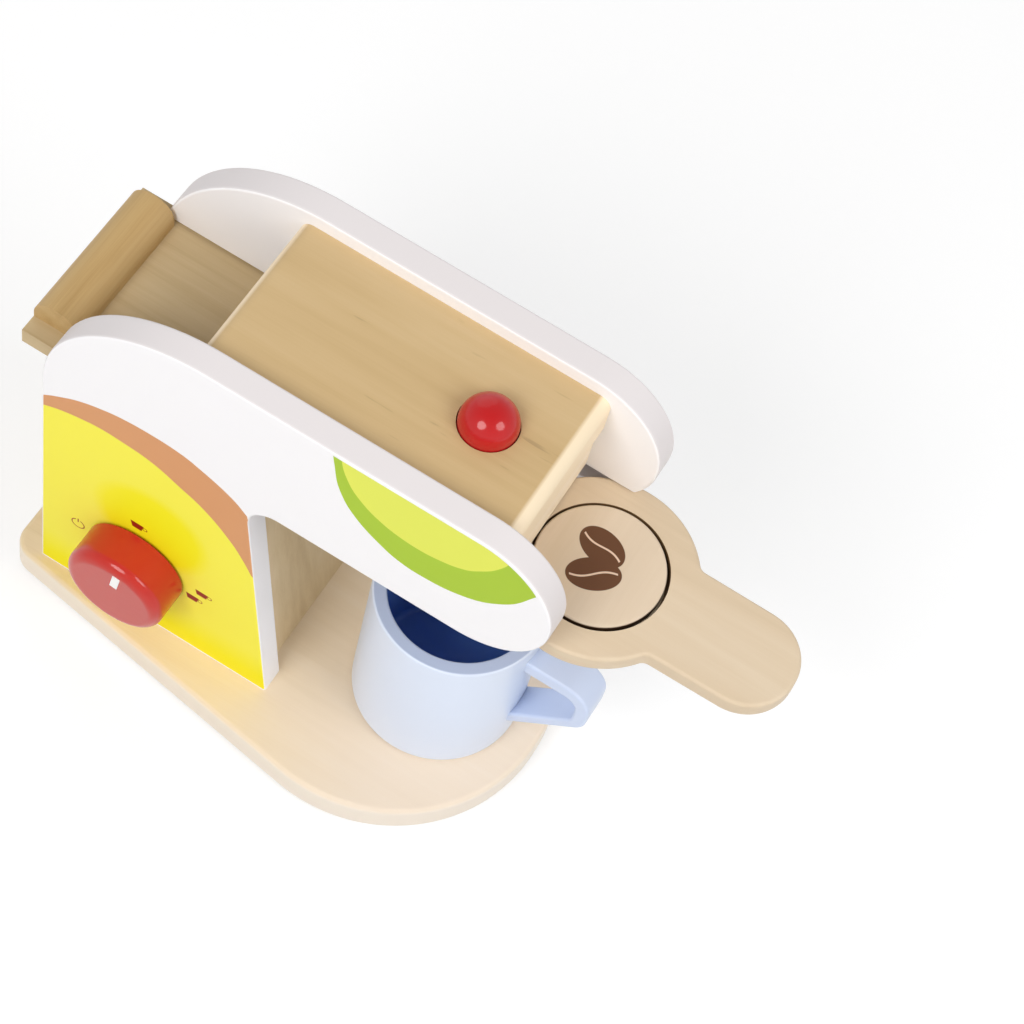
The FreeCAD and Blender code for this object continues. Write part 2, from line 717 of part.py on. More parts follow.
def make_paddle():
    body = new_body("paddle")
    plan = new_sketch(body, "head_plan", "XY_Plane")
    circle(plan, 0, 0, size("head_radius"))
    add_pad(body, plan, size("paddle_thick"))
    bar = new_sketch(body, "handle_plan", "XY_Plane")
    neck, tip = size("handle_neck") / 2, size("handle_tip") / 2
    root = size("recess_radius")
    end = size("handle_reach")
    outline(bar, [(-neck, -root), (-tip, -end), (tip, -end), (neck, -root)])
    add_pad(body, bar, size("paddle_thick"))
    end_radius = (size("handle_tip") - size("handle_end_flat")) / 2
    round_edges(body, end_radius, lambda e: along(e, 2) and same(e.BoundBox.YMin, -end.value))
    inner = -size("head_radius").value
    round_edges(body, size("neck_radius"),
                lambda e: along(e, 2) and inner < e.BoundBox.YMin < -TINY and abs(e.BoundBox.XMin) > TINY)
    top = size("paddle_thick").value
    round_edges(body, size("paddle_edge"), lambda e: flat_at(e, 2, 0) or flat_at(e, 2, top))
    recess = new_sketch(body, "pad_recess", "XY_Plane")
    bind(recess, "AttachmentOffset.Base.z", size("paddle_thick"))
    circle(recess, 0, 0, size("recess_radius"))
    add_pocket(body, recess, size("recess_depth"))
    put(body, 0, panel_rear - head_place, slide_level)
    return body


def make_coffee_pad():
    body = new_body("coffee_pad")
    plan = new_sketch(body, "pad_plan", "XY_Plane")
    circle(plan, 0, 0, size("pad_radius"))
    add_pad(body, plan, size("pad_thick"))
    top = size("pad_thick").value
    round_edges(body, size("pad_edge"), lambda e: flat_at(e, 2, top) or flat_at(e, 2, 0))
    floor = slide_level + size("paddle_thick") - size("recess_depth")
    put(body, size("pad_shift_far"), panel_rear - head_place + size("pad_shift_back"), floor)
    return body


# Cup


def make_cup():
    body = new_body("cup")
    profile = new_sketch(body, "cup_profile", "XZ_Plane")
    outside, inside = size("cup_radius"), size("cup_radius") - size("cup_wall")
    rim, floor = size("cup_height"), size("cup_floor")
    outline(profile, [(0, 0), (outside, 0), (outside, rim), (inside, rim), (inside, floor), (0, floor)])
    add_turning(body, profile, "V_Axis")
    round_edges(body, size("cup_foot_edge"), lambda e: flat_at(e, 2, 0) or flat_at(e, 2, floor.value))
    round_edges(body, size("cup_rim_edge"), lambda e: flat_at(e, 2, rim.value))
    put(body, -size("cup_side"), panel_rear - size("cup_place"), foot_level)
    return body


def make_cup_handle():
    body = new_body("cup_handle")
    profile = new_sketch(body, "ear_profile", "YZ_Plane")
    reach, top, knee, heel = size("ear_reach"), size("ear_top"), size("ear_knee"), size("ear_heel")
    root = size("cup_radius") - size("cup_wall")
    inside = reach - size("ear_front")
    under, over = top - size("ear_upper"), heel + size("ear_lower")
    outline(profile, [(-root, top), (-reach, top), (-reach, knee), (-root, heel)])
    hollow_root = root + OVERRUN
    hollow_knee = knee + size("ear_hollow_lift")
    outline(profile, [(-hollow_root, under), (-inside, under),
                      (-inside, hollow_knee), (-hollow_root, over)])
    add_pad(body, profile, size("ear_width"), both_ways=True)
    front, upper, lower = -reach.value, top.value, knee.value

    def outer_corner(edge, height):
        return along(edge, 0) and same(edge.BoundBox.YMin, front) and same(edge.BoundBox.ZMin, height)

    round_edges(body, size("ear_top_radius"), lambda e: outer_corner(e, upper))
    round_edges(body, size("ear_knee_radius"), lambda e: outer_corner(e, lower))
    hollow_front = -inside.value
    round_edges(body, size("ear_hollow_radius"),
                lambda e: along(e, 0) and same(e.BoundBox.YMin, hollow_front))
    seat = new_sketch(body, "cup_seat", "XY_Plane")
    circle(seat, 0, 0, size("cup_radius"))
    add_pocket(body, seat, top + OVERRUN, backwards=True)
    half = size("ear_width").value / 2
    round_edges(body, size("ear_edge"), lambda e: (flat_at(e, 0, half) or flat_at(e, 0, -half))
                and (not along(e, 2) or e.BoundBox.YMax < hollow_front + TINY))
    put(body, -size("cup_side"), panel_rear - size("cup_place"), foot_level)
    return body


def make_dowels(node, places):
    bars = []
    both = size("dowel_in_panel") + size("dowel_in_board")
    for side in (-1, 1):
        for number, (place, height) in enumerate(places):
            name = f"{node}_{number}_{'near' if side < 0 else 'far'}"
            bar = make_cylinder(name, size("dowel_radius"), both)
            start = half_gap * side - (size("dowel_in_panel") if side < 0 else size("dowel_in_board"))
            put(bar, start, panel_rear - place, foot_level + height)
            bars.append(bar)
    group = doc.addObject("Part::Compound", node)
    group.Label = node
    group.Links = bars
    return group


def make_base_screws():
    screws = []
    for side in (-1, 1):
        for number, place in enumerate(screw_places):
            name = f"screw_{number}_{'near' if side < 0 else 'far'}"
            shank = doc.addObject("Part::Cylinder", f"{name}_shank")
            bind(shank, "Radius", size("screw_radius"))
            bind(shank, "Height", size("screw_length"))
            head = doc.addObject("Part::Cone", f"{name}_head")
            bind(head, "Radius1", size("screw_head_radius"))
            bind(head, "Radius2", size("screw_radius"))
            bind(head, "Height", size("screw_head_radius") - size("screw_radius"))
            screw = doc.addObject("Part::Fuse", name)
            screw.Base = shank
            screw.Tool = head
            across = (half_gap + size("panel_thick") / 2) * side
            put(screw, across, panel_rear - place, 0)
            screws.append(screw)
    group = doc.addObject("Part::Compound", "base_screws")
    group.Label = "base_screws"
    group.Links = screws
    return group


pieces = [
    make_base_plate(),
    make_side_panel("side_panel_near", -1),
    make_side_panel("side_panel_far", 1),
    make_back_board(),
    make_column_board(),
    make_top_cover(),
    make_front_board(),
    make_spring_shelf(),
    make_push_button(),
    make_button_spring(),
    make_selector_knob(),
    make_knob_pointer(),
    make_knob_axle(),
    make_knob_washer(),
    make_axle_cap(),
    make_slide_lid(),
    make_lid_grip(),
    make_paddle(),
    make_coffee_pad(),
    make_cup(),
    make_cup_handle(),
    make_dowels("back_dowels", dowel_places()["back"]),
    make_dowels("column_dowels", dowel_places()["column"]),
    make_dowels("cover_dowels", dowel_places()["cover"]),
    make_base_screws(),
]

doc.recompute()
for thing in doc.Objects:
    if "Invalid" in thing.State or "Error" in thing.State:
        raise RuntimeError(f"{thing.Label} is not sound: {thing.State}")
for piece in pieces:
    if piece.Shape.isNull() or not piece.Shape.isValid():
        raise RuntimeError(f"{piece.Label} has no sound shape")
for piece in pieces:
    piece.Shape.exportStep(os.path.join("parts", f"{piece.Label}.step"))
    print(piece.Label, len(piece.Shape.Solids), round(piece.Shape.Volume, 1))
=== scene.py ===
import math

import bpy
from mathutils import Matrix, Vector

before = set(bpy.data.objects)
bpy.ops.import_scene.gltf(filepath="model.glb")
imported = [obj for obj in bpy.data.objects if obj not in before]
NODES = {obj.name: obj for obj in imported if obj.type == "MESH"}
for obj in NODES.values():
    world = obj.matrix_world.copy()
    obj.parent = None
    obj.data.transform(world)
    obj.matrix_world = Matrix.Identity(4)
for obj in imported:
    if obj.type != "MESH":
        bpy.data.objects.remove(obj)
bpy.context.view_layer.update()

# The side panels and the base plate's top in the row frame, in metres.
PANEL_REAR = 0.078
FOOT_LEVEL = 0.012
PANEL_OUTER = 0.0348
PANEL_INNER = 0.0258
MM = 0.001

# Places on the pieces, in mm: forward of the panels' rear edge, up from the base plate's top, and X.
CUP_FORWARD = 128.6
CUP_X = -1.0
CUP_RIM = 64.8
HEAD_FORWARD = 164.3
PADDLE_TOP = 121.0
COVER_REAR_ROUND = 46.6
COVER_FRONT_ROUND = 142.6

# The direction of a wooden piece's grain, as the index of its axis.
ALONG_X, ALONG_Y, ALONG_Z = range(3)


def linear(colour):
    """A screen colour, 0 to 255, as the linear colour Blender's sockets take."""
    out = []
    for channel in colour:
        c = channel / 255
        out.append(c / 12.92 if c <= 0.04045 else ((c + 0.055) / 1.055) ** 2.4)
    return (*out, 1.0)


# Shader expressions


class Expr:
    """A socket of a node tree that can be added, multiplied and compared like a number."""

    def __init__(self, tree, socket):
        self.tree = tree
        self.socket = socket

    def math(self, operation, *others, clamp=False):
        node = self.tree.nodes.new("ShaderNodeMath")
        node.operation = operation
        node.use_clamp = clamp
        for socket, value in zip(node.inputs, (self, *others)):
            feed(self.tree, socket, value)
        return Expr(self.tree, node.outputs[0])

    def __add__(self, other):
        return self.math("ADD", other)

    def __sub__(self, other):
        return self.math("SUBTRACT", other)

    def __mul__(self, other):
        return self.math("MULTIPLY", other)

    def __truediv__(self, other):
        return self.math("DIVIDE", other)

    def __neg__(self):
        return self.math("MULTIPLY", -1.0)

    def low(self, other):
        return self.math("MINIMUM", other)

    def high(self, other):
        return self.math("MAXIMUM", other)

    def abs(self):
        return self.math("ABSOLUTE")

    def clamped(self):
        return self.math("ADD", 0.0, clamp=True)


def feed(tree, socket, value):
    """Links an expression or an output socket to a socket, or sets a constant on it."""
    if isinstance(value, Expr):
        value = value.socket
    if isinstance(value, bpy.types.NodeSocket):
        tree.links.new(value, socket)
    else:
        socket.default_value = value


def hypot(a, b):
    return (a * a + b * b).math("SQRT")


def inside(distance, soft=0.06):
    """1 where a distance in mm is negative, 0 where it is positive, with a short soft edge."""
    return (distance * (-1 / soft)).math("ADD", 0.5, clamp=True)


def segment(u, v, start, end, radius):
    """Distance to a thick line from start to end."""
    du, dv = end[0] - start[0], end[1] - start[1]
    along = (((u - start[0]) * du + (v - start[1]) * dv) / (du * du + dv * dv)).clamped()
    return hypot(u - start[0] - along * du, v - start[1] - along * dv) - radius


def half_plane(u, v, point, outward):
    """Distance over a line through point, positive on its outward side."""
    size = math.hypot(*outward)
    return (u - point[0]) * (outward[0] / size) + (v - point[1]) * (outward[1] / size)


def curve_height(tree, u, points):
    """Height of a smooth curve through points, as a function of u."""
    us, vs = zip(*points)
    low_u, high_u, low_v, high_v = min(us), max(us), min(vs), max(vs)
    node = tree.nodes.new("ShaderNodeFloatCurve")
    curve = node.mapping.curves[0]
    while len(curve.points) < len(points):
        curve.points.new(0.5, 0.5)
    for slot, (a, b) in zip(curve.points, points):
        slot.location = ((a - low_u) / (high_u - low_u), (b - low_v) / (high_v - low_v))
        slot.handle_type = "AUTO"
    node.mapping.update()
    feed(tree, node.inputs["Value"], (u - low_u) / (high_u - low_u))
    return Expr(tree, node.outputs["Value"]) * (high_v - low_v) + low_v


class Paint:
    """A material under construction, with its shader, its colour so far and the places on the object in mm."""

    def __init__(self, name, rough=0.5, specular=0.5, coat=0.0, coat_rough=0.1):
        self.material = bpy.data.materials.new(name)
        self.material.use_nodes = True
        self.tree = self.material.node_tree
        self.shader = next(n for n in self.tree.nodes if n.type == "BSDF_PRINCIPLED")
        self.shader.inputs["Roughness"].default_value = rough
        self.shader.inputs["Specular IOR Level"].default_value = specular
        self.shader.inputs["Coat Weight"].default_value = coat
        self.shader.inputs["Coat Roughness"].default_value = coat_rough
        scale = self.node("ShaderNodeVectorMath")
        scale.operation = "SCALE"
        scale.inputs["Scale"].default_value = 1 / MM
        feed(self.tree, scale.inputs[0], self.node("ShaderNodeTexCoord").outputs["Object"])
        self.place = scale.outputs[0]
        split = self.node("ShaderNodeSeparateXYZ")
        feed(self.tree, split.inputs[0], self.place)
        self.x, y, z = (Expr(self.tree, output) for output in split.outputs)
        self.forward = y * -1.0 + PANEL_REAR / MM
        self.up = z - FOOT_LEVEL / MM

    def node(self, kind):
        return self.tree.nodes.new(kind)

    def noise(self, scale, detail, rough=0.55, shift=(0, 0, 0), distortion=0.0):
        """Noise with so many waves per mm along each axis."""
        mapping = self.node("ShaderNodeMapping")
        mapping.inputs["Scale"].default_value = scale
        mapping.inputs["Location"].default_value = shift
        feed(self.tree, mapping.inputs["Vector"], self.place)
        node = self.node("ShaderNodeTexNoise")
        feed(self.tree, node.inputs["Vector"], mapping.outputs[0])
        node.inputs["Scale"].default_value = 1.0
        node.inputs["Detail"].default_value = detail
        node.inputs["Roughness"].default_value = rough
        node.inputs["Distortion"].default_value = distortion
        return Expr(self.tree, node.outputs["Fac"])

    def mix(self, share, first, second):
        node = self.node("ShaderNodeMix")
        node.data_type = "RGBA"
        for name, value in (("Factor", share), ("A", first), ("B", second)):
            feed(self.tree, node.inputs[name], value)
        return node.outputs["Result"]

    def ramp(self, share, stops):
        node = self.node("ShaderNodeValToRGB")
        feed(self.tree, node.inputs[0], share)
        band = node.color_ramp
        while len(band.elements) < len(stops):
            band.elements.new(0.5)
        for element, (position, colour) in zip(band.elements, stops):
            element.position = position
            element.color = linear(colour)
        return node.outputs["Color"]

    def colour(self, source):
        self.so_far = source
        feed(self.tree, self.shader.inputs["Base Color"], source)

    def over(self, share, colour):
        """Puts a colour over the one so far, where share is 1."""
        self.colour(self.mix(share, self.so_far, colour))

    def around(self, share, colour):
        """Keeps the colour so far where share is 1, and puts another one around it."""
        self.colour(self.mix(share, colour, self.so_far))

    def bump(self, height, distance, strength):
        node = self.node("ShaderNodeBump")
        node.inputs["Distance"].default_value = distance
        node.inputs["Strength"].default_value = strength
        feed(self.tree, node.inputs["Height"], height)
        feed(self.tree, self.shader.inputs["Normal"], node.outputs["Normal"])

    def sprayed(self, waves, depth, strength=0.25):
        """The faint waves of a sprayed coat, so many per mm and so deep in metres."""
        self.bump(self.noise((waves, waves, waves), detail=3.0), depth, strength)


# Wood. Waves are per mm across and along the grain.

WIDE_WAVES, RING_WAVES, FINE_WAVES, FLECK_WAVES = (0.055, 0.006), (0.30, 0.011), (2.4, 0.05), (0.55, 0.06)
GRAIN_STOPS = (0.30, 0.50, 0.72)
WIDE_SHARE, RING_SHARE, FINE_SHARE = 0.55, 0.42, 0.16
GRAIN_OFFSET = 0.07
SEED_STEP = (17.3, 9.1, 5.7)
FLECK_STEP = (3, 5, 7)
FLECK_GAIN, FLECK_LEVEL, FLECK_SHADE = 14.0, 9.9, 0.62
RING_HEIGHT, FINE_HEIGHT = 0.6, 0.4
GRAIN_DEPTH, GRAIN_STRENGTH = 0.12 * MM, 0.35


def wood(name, dark, mid, light, grain, seed, rough=0.5, streak=1.0, flecks=0.0):
    """Sanded wood with its grain along one axis of the object, and short dark flecks when asked for."""
    paint = Paint(name, rough=rough, specular=0.35)
    shift = [seed * step for step in SEED_STEP]

    def stretch(across, along):
        scale = [across] * 3
        scale[grain] = along
        return scale

    wide = paint.noise(stretch(*WIDE_WAVES), detail=3.0, rough=0.5, shift=shift, distortion=0.6)
    rings = paint.noise(stretch(*RING_WAVES), detail=4.0, rough=0.6, shift=shift, distortion=0.3)
    fine = paint.noise(stretch(*FINE_WAVES), detail=3.0, rough=0.6, shift=shift)
    centre = GRAIN_OFFSET + (RING_SHARE + FINE_SHARE) / 2 * (streak - 1.0)
    share = wide * WIDE_SHARE + rings * (RING_SHARE * streak) + fine * (FINE_SHARE * streak) - centre
    paint.colour(paint.ramp(share, list(zip(GRAIN_STOPS, (dark, mid, light)))))
    if flecks:
        fleck_shift = [seed + step for step in FLECK_STEP]
        spots = paint.noise(stretch(*FLECK_WAVES), detail=2.0, rough=0.4, shift=fleck_shift)
        mark = (spots * FLECK_GAIN - FLECK_LEVEL).clamped() * flecks
        paint.over(mark, linear([channel * FLECK_SHADE for channel in dark]))
    paint.bump(rings * RING_HEIGHT + fine * FINE_HEIGHT, GRAIN_DEPTH, GRAIN_STRENGTH)
    return paint


# The side panels' paint and print, and the painted shade that greys their edges. Curves are (forward, up)
# points in mm.

# Painted shade: a greyer white on the panels' edges, on the near panel only near its top, stands for the shade
# those edges are in.
SHADED_EDGE_WHITE = linear((227, 221, 221))
EDGE_SKIN = 0.25
SHADED_EDGE_UP, SHADED_EDGE_FADE = 104.0, 10.0

PRINT_MARGIN = 0.6
PRINT_FRONT, PRINT_FRONT_OUTWARD = (69.6, 109.0), (109.0, 15.5)
BAND_TOP = [(-12, 88), (1.3, 101.6), (6.5, 105.5), (13.3, 109.7), (20.1, 112.4), (26.9, 114.2), (37, 115.1),
            (47.2, 114.5), (54, 112.4), (64.5, 107.4), (70.6, 102.1), (88, 84)]
FIELD_TOP = [(-12, 88), (1.3, 95.7), (6.5, 98.1), (13.5, 100.2), (20.3, 101.4), (27.2, 101.3), (37.6, 100),
             (48.2, 95.4), (55.3, 91.8), (66.3, 81.9), (70.9, 75.5), (75, 68.3), (90, 44)]
DEEP_SPOT, DEEP_SPOT_RADIUS, DEEP_SPOT_FADE = (39.5, 60.5), 19.0, 5.0
DEEP_FOOT, DEEP_FOOT_FADE = 14.0, 14.0

LENS_BOTTOM = [(92.4, 166), (93.9, 158.0), (97.2, 145.7), (103, 137.2), (111.8, 130.8), (118, 128.1),
             (125.2, 127.4), (137.8, 129.8), (149.3, 137.6), (157.8, 151.6), (160, 157)]
LENS_SPLIT = [(95.6, 163), (98.5, 153.8), (103, 147.6), (110.3, 142.7), (116.5, 140.8), (123.4, 140.3),
              (128.9, 141.1), (135.7, 143.5), (141.5, 148.4), (146.4, 155.5), (149, 163)]
LENS_REAR, LENS_FRONT = 92.6, 158.4
LENS_ROUND_CENTRE, LENS_ROUND_RADIUS = (138.6, 136.6), 24.9

MARK_FADE = 0.22
POWER_CENTRE, POWER_RADIUS, POWER_STROKE = (13.6, 35.4), 2.25, 0.2
POWER_GAP, POWER_BAR = 0.8, (1.1, 2.9)
CUP_MARKS = [((34.6, 56.9), 3.2), ((55.8, 32.8), 2.9), ((58.9, 38.3), 2.7)]
CUP_MARK_HALF, CUP_MARK_FLARE = 2.02, 0.23
EAR_OUT, EAR_UP, EAR_RADIUS, EAR_STROKE = 0.8, 0.3, 0.75, 0.15


def power_mark(u, v):
    """Distance to a ring that is open at the top, with an upright bar in the gap."""
    u, v = u - POWER_CENTRE[0], v - POWER_CENTRE[1]
    ring = (hypot(u, v) - POWER_RADIUS).abs() - POWER_STROKE
    gap = u.abs().high(-v) - POWER_GAP
    bar = segment(u, v, (0, POWER_BAR[0]), (0, POWER_BAR[1]), POWER_STROKE)
    return ring.high(-gap).low(bar)


def cup_mark(u, v, centre, height):
    """Distance to a small cup that widens upward, with its ear in front."""
    u, v = u - centre[0], v - centre[1]
    body = (u.abs() + v * -CUP_MARK_FLARE - CUP_MARK_HALF).high(v.abs() - height / 2)
    ear = (hypot(u - (CUP_MARK_HALF + EAR_OUT), v - EAR_UP) - EAR_RADIUS).abs() - EAR_STROKE
    return body.low(ear.high(-(u - CUP_MARK_HALF)))


def near_panel_paint():
    """White satin paint, with the printed fields and marks on the knob's side, and painted shade that greys its
    edges near the top.
    """
    paint = Paint("panel_print", specular=0.15)
    u, v = paint.forward, paint.up
    white, ink = linear((250, 248, 249)), linear((150, 34, 10))
    tan, yellow, deep_yellow = linear((217, 155, 107)), linear((250, 240, 78)), linear((248, 236, 24))
    light_green, dark_green = linear((229, 234, 94)), linear((172, 202, 56))
    paint.colour(white)

    leg = half_plane(u, v, PRINT_FRONT, PRINT_FRONT_OUTWARD).high(-(u - PRINT_MARGIN)).high(-(v - PRINT_MARGIN))
    on_spot = inside(hypot(u - DEEP_SPOT[0], v - DEEP_SPOT[1]) - DEEP_SPOT_RADIUS, DEEP_SPOT_FADE)
    at_foot = inside(v - DEEP_FOOT, DEEP_FOOT_FADE)
    paint.over(inside((v - curve_height(paint.tree, u, BAND_TOP)).high(leg)), tan)
    paint.over(inside((v - curve_height(paint.tree, u, FIELD_TOP)).high(leg)),
               paint.mix(on_spot.high(at_foot), yellow, deep_yellow))

    round_end = hypot((u - LENS_ROUND_CENTRE[0]).high(0.0), (v - LENS_ROUND_CENTRE[1]).high(0.0))
    lens = (curve_height(paint.tree, u, LENS_BOTTOM) - v).high(round_end - LENS_ROUND_RADIUS)
    lens = lens.high(-(u - LENS_REAR)).high(u - LENS_FRONT)
    paint.over(inside(lens), dark_green)
    paint.over(inside(lens.high(curve_height(paint.tree, u, LENS_SPLIT) - v)), light_green)

    marks = power_mark(u, v)
    for centre, height in CUP_MARKS:
        marks = marks.low(cup_mark(u, v, centre, height))
    paint.over(inside(marks, MARK_FADE), ink)

    # Painted shade: above this height the edges get the greyer white.
    edge = paint.mix(inside(-(v - SHADED_EDGE_UP), SHADED_EDGE_FADE), white, SHADED_EDGE_WHITE)
    paint.around(inside(paint.x + (PANEL_OUTER / MM - EDGE_SKIN), 0.1), edge)
    paint.sprayed(0.9, 0.06 * MM)
    return paint


def far_panel_paint():
    """White satin paint, with painted shade that makes the panel's edges greyer."""
    paint = Paint("panel_white", specular=0.15)
    middle = (PANEL_OUTER + PANEL_INNER) / 2 / MM
    half = (PANEL_OUTER - PANEL_INNER) / 2 / MM
    paint.colour(linear((251, 249, 250)))
    # Painted shade: the greyer white on the edges between the two faces.
    paint.over(inside((paint.x - middle).abs() - (half - EDGE_SKIN), 0.1), SHADED_EDGE_WHITE)
    paint.sprayed(0.9, 0.06 * MM)
    return paint


# The other painted pieces. The cup's dark inside and the painted shade that greys its rim's top each end at a
# radius and at a depth under its top.

CUP_INSIDE_RADIUS, CUP_INSIDE_DEPTH = 23.4, 0.55
CUP_RIM_SHADE_RADIUS, CUP_RIM_SHADE_DEPTH = 27.0, 0.9


def blue_satin(name, colour):
    paint = Paint(name, rough=0.36, specular=0.45, coat=0.15, coat_rough=0.25)
    paint.colour(linear(colour))
    paint.sprayed(0.5, 0.08 * MM, strength=0.3)
    return paint


def cup_paint():
    """Pale blue outside and dark blue inside, with painted shade that greys the top of its rim."""
    paint = blue_satin("cup_paint", (222, 232, 250))
    radius = hypot(paint.x - CUP_X, paint.forward - CUP_FORWARD)
    depth = -(paint.up - CUP_RIM)
    rim_shade = inside((radius - CUP_RIM_SHADE_RADIUS).high(depth - CUP_RIM_SHADE_DEPTH), 0.3)
    within = inside((radius - CUP_INSIDE_RADIUS).high(-(depth - CUP_INSIDE_DEPTH)), 0.15)
    # Painted shade: the rim's upward face painted greyer, where less light falls.
    paint.over(rim_shade, linear((184, 198, 227)))
    paint.over(within, linear((96, 140, 210)))
    return paint


def red_gloss(name, colour):
    paint = Paint(name, rough=0.35, specular=0.1, coat=0.7)
    paint.colour(linear(colour))
    paint.sprayed(0.35, 0.12 * MM)
    return paint


def plain(name, colour, rough, metal=0.0):
    paint = Paint(name, rough=rough)
    paint.colour(linear(colour))
    paint.shader.inputs["Metallic"].default_value = metal
    return paint


# The wooden pieces with something on them. Each printed bean has a centre (forward and X), a lean, half its
# length and width, and the height of its crease's wave, in mm and radians.

BEANS = [
    ((161.75, 5.61), -0.26, (7.62, 5.27), 0.85),
    ((163.93, -3.21), 0.52, (8.08, 5.23), 0.85),
]
CREASE_STROKE, CREASE_LENGTH = 0.3, 0.86
# Painted shade on the pad's side starts this far under its top, in mm.
PAD_SIDE_SHADE_DEPTH = 0.5
# Radii and depth under the paddle's top of the painted shade on its recess wall, in mm.
RECESS_WALL = (19.6, 20.3)
RECESS_SHADE_DEPTH = 0.15
PINK_START, PINK_LENGTH, PINK_SHARE = 40.0, 90.0, 0.7
BASE_EDGE_DEPTH, BASE_EDGE_SHARE = 1.0, 0.75


def pad_wood():
    """Pale wood with two printed coffee beans, and painted shade on its side for the dark gap round it."""
    paint = wood("pad_wood", (212, 191, 160), (221, 201, 175), (229, 211, 188), ALONG_X, 4.0, streak=0.6)
    brown, crease, gap_shade = linear((104, 67, 42)), linear((232, 204, 180)), linear((70, 46, 28))
    for (centre_u, centre_v), lean, (half_long, half_short), bend in BEANS:
        u, v = paint.forward - centre_u, paint.x - centre_v
        along = u * math.cos(lean) + v * math.sin(lean)
        across = v * math.cos(lean) - u * math.sin(lean)
        body = (hypot(along / half_long, across / half_short) - 1.0) * half_short
        wave = (along * (math.pi / half_long)).math("SINE") * bend
        line = ((across - wave).abs() - CREASE_STROKE).high(along.abs() - half_long * CREASE_LENGTH)
        paint.over(inside(body, 0.1), brown)
        paint.over(inside(line, 0.12), crease)
    # Painted shade: the pad's side below its top painted dark brown, for the shade in the narrow gap round it.
    paint.around(inside(-(paint.up - (PADDLE_TOP - PAD_SIDE_SHADE_DEPTH)), 0.4), gap_shade)
    return paint


def paddle_paint():
    """Pale wood, with painted shade on the wall of its round recess."""
    paint = wood("paddle_wood", (206, 184, 153), (217, 196, 167), (225, 207, 181), ALONG_Y, 6.0, streak=0.6)
    radius = hypot(paint.forward - HEAD_FORWARD, paint.x)
    wall = (radius - RECESS_WALL[1]).high(-(radius - RECESS_WALL[0]))
    # Painted shade: the recess wall painted brown, for the shade in the gap round the pad.
    paint.over(inside(wall.high(paint.up - (PADDLE_TOP - RECESS_SHADE_DEPTH)), 0.1), linear((126, 96, 62)))
    return paint


def base_paint():
    """Pale wood, a little pinker toward the front and paler on its edge."""
    paint = wood("base_wood", (226, 202, 158), (236, 213, 172), (241, 222, 188), ALONG_Y, 1.0)
    paint.over(((paint.forward - PINK_START) / PINK_LENGTH).clamped() * PINK_SHARE, linear((236, 221, 207)))
    paint.over(inside(paint.up + BASE_EDGE_DEPTH, 1.0) * BASE_EDGE_SHARE, linear((247, 236, 222)))
    return paint


def cover_paint():
    """Tan wood whose rounded ends are painted paler, as painted light where the roundings catch the lamps."""
    paint = wood("cover_wood", (192, 162, 114), (203, 174, 127), (211, 184, 140), ALONG_Y, 3.0, rough=0.48,
                 streak=0.7, flecks=0.3)
    lit_ends_distance = (-(paint.forward - COVER_FRONT_ROUND)).low(paint.forward - COVER_REAR_ROUND)
    # Painted light: the rounded ends painted paler, for the light on their roundings.
    paint.over(inside(lit_ends_distance, 1.2), linear((246, 226, 194)))
    return paint


board_wood = wood("board_wood", (212, 186, 142), (226, 203, 162), (236, 215, 180), ALONG_Z, 2.0)
front_wood = wood("front_wood", (236, 212, 176), (248, 230, 202), (252, 240, 220), ALONG_X, 5.0, streak=1.5)
slide_wood = wood("slide_wood", (182, 156, 114), (198, 174, 132), (210, 188, 148), ALONG_Y, 7.0)
grip_wood = wood("grip_wood", (166, 132, 78), (192, 159, 106), (205, 176, 124), ALONG_X, 8.0)
dowel_wood = wood("dowel_wood", (196, 160, 112), (212, 180, 134), (224, 196, 152), ALONG_X, 9.0, rough=0.6)

LOOKS = {
    "base_plate": base_paint(),
    "side_panel_near": near_panel_paint(),
    "side_panel_far": far_panel_paint(),
    "back_board": board_wood,
    "column_board": board_wood,
    "top_cover": cover_paint(),
    "front_board": front_wood,
    "spring_shelf": dowel_wood,
    "push_button": red_gloss("button_red", (188, 26, 28)),
    "button_spring": plain("spring_steel", (170, 172, 178), 0.32, metal=1.0),
    "selector_knob": red_gloss("knob_red", (192, 44, 34)),
    "knob_pointer": plain("pointer_white", (250, 250, 248), 0.5),
    "knob_axle": dowel_wood,
    "knob_washer": plain("washer_felt", (120, 112, 100), 0.95),
    "axle_cap": dowel_wood,
    "slide_lid": slide_wood,
    "lid_grip": grip_wood,
    "paddle": paddle_paint(),
    "coffee_pad": pad_wood(),
    "cup": cup_paint(),
    "cup_handle": blue_satin("cup_handle_paint", (205, 217, 242)),
    "back_dowels": dowel_wood,
    "column_dowels": dowel_wood,
    "cover_dowels": dowel_wood,
    "base_screws": plain("screw_steel", (160, 162, 168), 0.35, metal=1.0),
}
for name, paint in LOOKS.items():
    NODES[name].data.materials.clear()
    NODES[name].data.materials.append(paint.material)

# Floor, light and camera, in metres and watts

FLOOR_HALF, FLOOR_LEVEL = 6.0, -0.0004
FLOOR_GREY, FLOOR_GLOW = 0.62, 0.42
SKY_HORIZON, SKY_ZENITH = 0.9, 0.28
LAMP_TARGET = Vector((0, -0.043, 0.15))
LAMP_DISTANCE = 1.3
# Each lamp's name, direction from the target, diameter and power.
LAMPS = [
    ("left", (-0.70, 0.17, 0.694), 0.7, 8.0),
    ("front", (-0.10, -0.73, 0.676), 0.7, 6.2),
    ("far", (0.63, 0.53, 0.57), 1.2, 1.6),
]
CAMERA_PLACE = (-0.3704, -0.1587, 0.8163)
CAMERA_RIGHT = (0.5051, -0.8503, 0.1475)
CAMERA_BACK = (-0.4729, -0.1297, 0.8715)
CAMERA_LENS, CAMERA_SENSOR = 97.92, 36.0
CAMERA_NEAR, CAMERA_FAR = 0.05, 50.0


